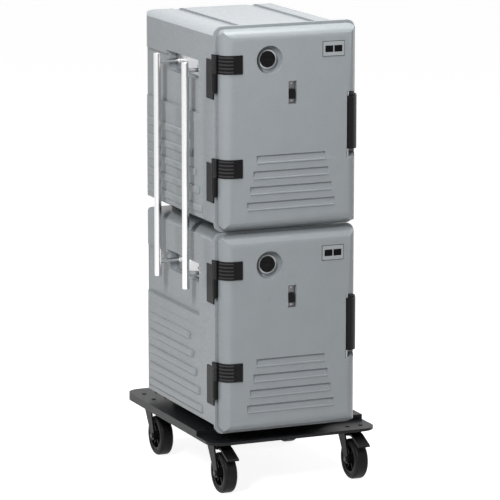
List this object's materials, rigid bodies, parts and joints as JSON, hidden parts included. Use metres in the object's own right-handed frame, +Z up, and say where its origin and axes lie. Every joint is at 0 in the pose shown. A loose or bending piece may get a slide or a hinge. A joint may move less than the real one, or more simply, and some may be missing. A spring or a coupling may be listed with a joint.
{
  "type": "enclosed meal tray cart",
  "caption": "Enclosed meal tray cart: stacked insulated front-loading tray carriers with hinged latched doors on a dolly with swivel casters and a side push handle.",
  "frame": {"origin": "on the floor, at the middle of the whole cart's footprint", "axes": "+Z up, +X to the right as seen from the doors, +Y away from the doors towards the back"},
  "size_m": [0.581, 0.7444, 1.427],
  "materials": {
    "grey": "satin moulded",
    "foam": "closed-cell foam",
    "rubber": "soft",
    "black": "satin",
    "steel": "brushed",
    "blacksteel": "satin",
    "tyre": "matt",
    "ring": "satin",
    "zinc": "plated"
  },
  "bodies": {
    "cart": {"lower_body_shell": "grey", "lower_body_foam": "foam", "lower_gasket": "rubber", "lower_hinge_body_leaves": "black", "lower_hinge_pins": "steel", "lower_latch_keeper": "black", "upper_body_shell": "grey", "upper_body_foam": "foam", "upper_gasket": "rubber", "upper_hinge_body_leaves": "black", "upper_hinge_pins": "steel", "upper_latch_keeper": "black", "front_handle_bar": "steel", "rear_handle_bar": "steel", "handle_standoffs": "steel", "upper_handle_plate": "steel", "lower_handle_plate": "steel", "dolly_deck": "black", "caster_plates": "blacksteel", "deck_bolts": "blacksteel"},
    "lower_door": {"lower_door_shell": "grey", "lower_door_foam": "foam", "lower_hinge_door_leaves": "black", "lower_vent_ring": "ring", "lower_clip_plate": "steel", "lower_label_plate": "ring", "lower_door_screws": "blacksteel", "lower_latch_pin": "steel"},
    "lower_knob": {"lower_vent_knob": "black"},
    "lower_clip": {"lower_menu_clip": "black"},
    "lower_latch": {"lower_latch_lever": "black"},
    "upper_door": {"upper_door_shell": "grey", "upper_door_foam": "foam", "upper_hinge_door_leaves": "black", "upper_vent_ring": "ring", "upper_clip_plate": "steel", "upper_label_plate": "ring", "upper_door_screws": "blacksteel", "upper_latch_pin": "steel"},
    "upper_knob": {"upper_vent_knob": "black"},
    "upper_clip": {"upper_menu_clip": "black"},
    "upper_latch": {"upper_latch_lever": "black"},
    "front_left_swivel": {"front_left_fork": "blacksteel", "front_left_axle": "zinc"},
    "front_left_wheel": {"front_left_hub": "black", "front_left_tyre": "tyre"},
    "front_left_brake": {"front_left_pedal": "blacksteel"},
    "front_right_swivel": {"front_right_fork": "blacksteel", "front_right_axle": "zinc"},
    "front_right_wheel": {"front_right_hub": "black", "front_right_tyre": "tyre"},
    "front_right_brake": {"front_right_pedal": "blacksteel"},
    "rear_left_swivel": {"rear_left_fork": "blacksteel", "rear_left_axle": "zinc"},
    "rear_left_wheel": {"rear_left_hub": "black", "rear_left_tyre": "tyre"},
    "rear_right_swivel": {"rear_right_fork": "blacksteel", "rear_right_axle": "zinc"},
    "rear_right_wheel": {"rear_right_hub": "black", "rear_right_tyre": "tyre"}
  },
  "joints": [
    {"name": "lower_door_swing", "type": "hinge", "parent": "cart", "child": "lower_door", "pos_m": [-0.2445, -0.32775, 0.5405], "axis": [0, 0, -1], "range_deg": [0, 180]},
    {"name": "lower_latch_turn", "type": "hinge", "parent": "lower_door", "child": "lower_latch", "pos_m": [0.1739, -0.35875, 0.5025], "axis": [0, 0, -1], "range_deg": [0, 60]},
    {"name": "lower_vent_turn", "type": "hinge", "parent": "lower_door", "child": "lower_knob", "pos_m": [-0.085, -0.35375, 0.706], "axis": [0, -1, 0], "range_deg": [0, 90]},
    {"name": "lower_clip_open", "type": "hinge", "parent": "lower_door", "child": "lower_clip", "pos_m": [-0.01125, -0.36025, 0.61], "axis": [-1, 0, 0], "range_deg": [0, 20], "stiffness_Nm_per_rad": 0.05, "springref_deg": -5.73},
    {"name": "upper_door_swing", "type": "hinge", "parent": "cart", "child": "upper_door", "pos_m": [-0.2445, -0.32775, 1.1605], "axis": [0, 0, -1], "range_deg": [0, 180]},
    {"name": "upper_latch_turn", "type": "hinge", "parent": "upper_door", "child": "upper_latch", "pos_m": [0.1739, -0.35875, 1.1225], "axis": [0, 0, -1], "range_deg": [0, 60]},
    {"name": "upper_vent_turn", "type": "hinge", "parent": "upper_door", "child": "upper_knob", "pos_m": [-0.085, -0.35375, 1.326], "axis": [0, -1, 0], "range_deg": [0, 90]},
    {"name": "upper_clip_open", "type": "hinge", "parent": "upper_door", "child": "upper_clip", "pos_m": [-0.01125, -0.36025, 1.23], "axis": [-1, 0, 0], "range_deg": [0, 20], "stiffness_Nm_per_rad": 0.05, "springref_deg": -5.73},
    {"name": "front_left_swivel_turn", "type": "hinge", "parent": "cart", "child": "front_left_swivel", "pos_m": [-0.2055, -0.25575, 0.1516], "axis": [0, 0, 1], "continuous": true},
    {"name": "front_left_wheel_roll", "type": "hinge", "parent": "front_left_swivel", "child": "front_left_wheel", "pos_m": [-0.2055, -0.29975, 0.0625], "axis": [1, 0, 0], "continuous": true},
    {"name": "front_left_brake_press", "type": "hinge", "parent": "front_left_swivel", "child": "front_left_brake", "pos_m": [-0.2055, -0.29375, 0.1401], "axis": [1, 0, 0], "range_deg": [0, 8]},
    {"name": "front_right_swivel_turn", "type": "hinge", "parent": "cart", "child": "front_right_swivel", "pos_m": [0.2305, -0.25575, 0.1516], "axis": [0, 0, 1], "continuous": true},
    {"name": "front_right_wheel_roll", "type": "hinge", "parent": "front_right_swivel", "child": "front_right_wheel", "pos_m": [0.2305, -0.29975, 0.0625], "axis": [1, 0, 0], "continuous": true},
    {"name": "front_right_brake_press", "type": "hinge", "parent": "front_right_swivel", "child": "front_right_brake", "pos_m": [0.2305, -0.29375, 0.1401], "axis": [1, 0, 0], "range_deg": [0, 8]},
    {"name": "rear_left_swivel_turn", "type": "hinge", "parent": "cart", "child": "rear_left_swivel", "pos_m": [-0.2055, 0.25925, 0.1516], "axis": [0, 0, 1], "continuous": true},
    {"name": "rear_left_wheel_roll", "type": "hinge", "parent": "rear_left_swivel", "child": "rear_left_wheel", "pos_m": [-0.2055, 0.21525, 0.0625], "axis": [1, 0, 0], "continuous": true},
    {"name": "rear_right_swivel_turn", "type": "hinge", "parent": "cart", "child": "rear_right_swivel", "pos_m": [0.2305, 0.25925, 0.1516], "axis": [0, 0, 1], "continuous": true},
    {"name": "rear_right_wheel_roll", "type": "hinge", "parent": "rear_right_swivel", "child": "rear_right_wheel", "pos_m": [0.2305, 0.21525, 0.0625], "axis": [1, 0, 0], "continuous": true}
  ]
}
